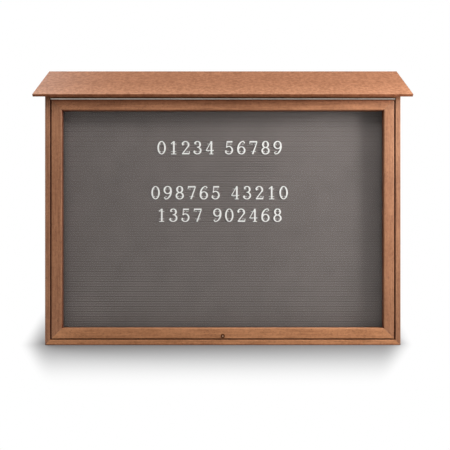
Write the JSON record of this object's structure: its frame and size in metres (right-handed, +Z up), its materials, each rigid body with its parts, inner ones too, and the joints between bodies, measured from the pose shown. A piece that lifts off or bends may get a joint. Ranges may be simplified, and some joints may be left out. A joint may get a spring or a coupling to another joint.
{
  "type": "lockable notice board",
  "caption": "Outdoor notice board: plastic-lumber case under a sloping roof, top-hinged glazed door with cam lock and gas struts, and a grooved letter board inside.",
  "frame": {"origin": "centre of the flat underside of the case", "axes": "+X to the right of a person reading the board, +Y from the door to the back, +Z up"},
  "size_m": [1.3878, 0.1746, 1.0598],
  "materials": {
    "cedar_lumber": "brushed cedar-coloured plastic lumber, satin",
    "roof_lumber": "cedar-coloured plastic sheet, fine flecked grain",
    "clear_pane": "clear acrylic sheet",
    "board_felt": "warm grey felt over a grooved board",
    "foam_seal": "black foam strip",
    "hinge_steel": "bright stainless continuous hinge",
    "bracket_steel": "zinc-plated steel",
    "lock_housing_metal": "dark oxidised die casting",
    "plug_chrome": "bright plated plug",
    "nut_brass": "plain turned brass",
    "rod_chrome": "ground and plated rod",
    "tube_paint": "black satin enamel"
  },
  "bodies": {
    "case": {"left_side_board": "cedar_lumber", "right_side_board": "cedar_lumber", "bottom_board": "cedar_lumber", "top_board": "cedar_lumber", "back_panel": "cedar_lumber", "roof_board": "roof_lumber", "ridge_rail": "cedar_lumber", "top_door_stop": "cedar_lumber", "left_door_stop": "cedar_lumber", "right_door_stop": "cedar_lumber", "bottom_door_stop_left": "cedar_lumber", "bottom_door_stop_right": "cedar_lumber", "top_seal": "foam_seal", "left_seal": "foam_seal", "right_seal": "foam_seal", "bottom_seal_left": "foam_seal", "bottom_seal_right": "foam_seal", "letter_board": "board_felt", "left_batten": "cedar_lumber", "centre_batten": "cedar_lumber", "right_batten": "cedar_lumber", "keeper_plate": "bracket_steel", "left_case_bracket": "bracket_steel", "right_case_bracket": "bracket_steel", "hinge_case_leaf": "hinge_steel", "hinge_pin": "hinge_steel"},
    "door": {"door_top_rail": "cedar_lumber", "door_bottom_rail": "cedar_lumber", "door_left_stile": "cedar_lumber", "door_right_stile": "cedar_lumber", "window_pane": "clear_pane", "glazing_strip_bottom": "cedar_lumber", "glazing_strip_left": "cedar_lumber", "glazing_strip_top": "cedar_lumber", "glazing_strip_right": "cedar_lumber", "hinge_door_leaf": "hinge_steel", "lock_housing": "lock_housing_metal", "lock_nut": "nut_brass", "left_door_bracket": "bracket_steel", "right_door_bracket": "bracket_steel"},
    "lock": {"lock_plug": "plug_chrome", "lock_cam": "bracket_steel", "cam_screw": "bracket_steel"},
    "left_rod": {"left_strut_rod": "rod_chrome"},
    "left_tube": {"left_strut_tube": "tube_paint"},
    "right_rod": {"right_strut_rod": "rod_chrome"},
    "right_tube": {"right_strut_tube": "tube_paint"}
  },
  "joints": [
    {"name": "door_hinge", "type": "hinge", "parent": "case", "child": "door", "pos_m": [0, -0.06985, 0.91435], "axis": [-1, 0, 0], "range_deg": [0, 80]},
    {"name": "lock_turn", "type": "hinge", "parent": "door", "child": "lock", "pos_m": [0, -0.06985, 0.03325], "axis": [0, -1, 0], "range_deg": [0, 90]},
    {"name": "left_strut_swing", "type": "hinge", "parent": "door", "child": "left_rod", "pos_m": [-0.61995, -0.02785, 0.51435], "axis": [-1, 0, 0], "range_deg": [0, 3.18]},
    {"name": "left_strut_slide", "type": "slide", "parent": "left_rod", "child": "left_tube", "axis": [0, 0.0499, 0.9988], "range_m": [0, 0.1254]},
    {"name": "right_strut_swing", "type": "hinge", "parent": "door", "child": "right_rod", "pos_m": [0.61995, -0.02785, 0.51435], "axis": [-1, 0, 0], "range_deg": [0, 3.18]},
    {"name": "right_strut_slide", "type": "slide", "parent": "right_rod", "child": "right_tube", "axis": [0, 0.0499, 0.9988], "range_m": [0, 0.1254]}
  ],
  "couplings": [
    {"joint": "left_strut_swing", "follows": "door_hinge", "ratio": 0.039653},
    {"joint": "left_strut_slide", "follows": "door_hinge", "m_per_rad": 0.089737},
    {"joint": "right_strut_swing", "follows": "door_hinge", "ratio": 0.039653},
    {"joint": "right_strut_slide", "follows": "door_hinge", "m_per_rad": 0.089737}
  ]
}
